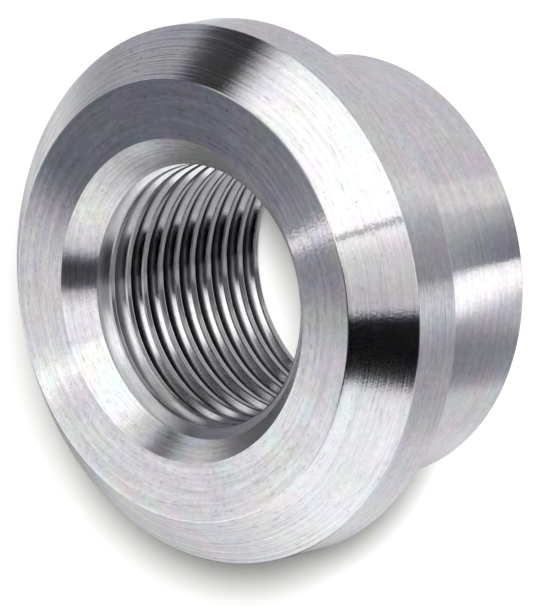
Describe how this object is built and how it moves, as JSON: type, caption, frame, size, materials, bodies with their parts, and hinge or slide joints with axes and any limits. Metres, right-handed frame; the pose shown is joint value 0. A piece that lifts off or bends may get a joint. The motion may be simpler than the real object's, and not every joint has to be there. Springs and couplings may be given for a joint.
{
  "type": "weld bung",
  "caption": "Round turned metal boss with a bevelled flange, a plain spigot and a threaded through bore with a countersunk mouth, for welding into a pipe or tank.",
  "frame": {"origin": "centre of the spigot's lower end, on the turning axis", "axes": "+Z along the turning axis, from the spigot's lower end to the flange's face; +X and +Y are any two square directions across it"},
  "size_m": [0.034, 0.034, 0.017],
  "materials": {
    "turned_metal": "bright turned, with fine tool marks"
  },
  "bodies": {
    "root": {"weld_bung": "turned_metal"}
  },
  "joints": []
}
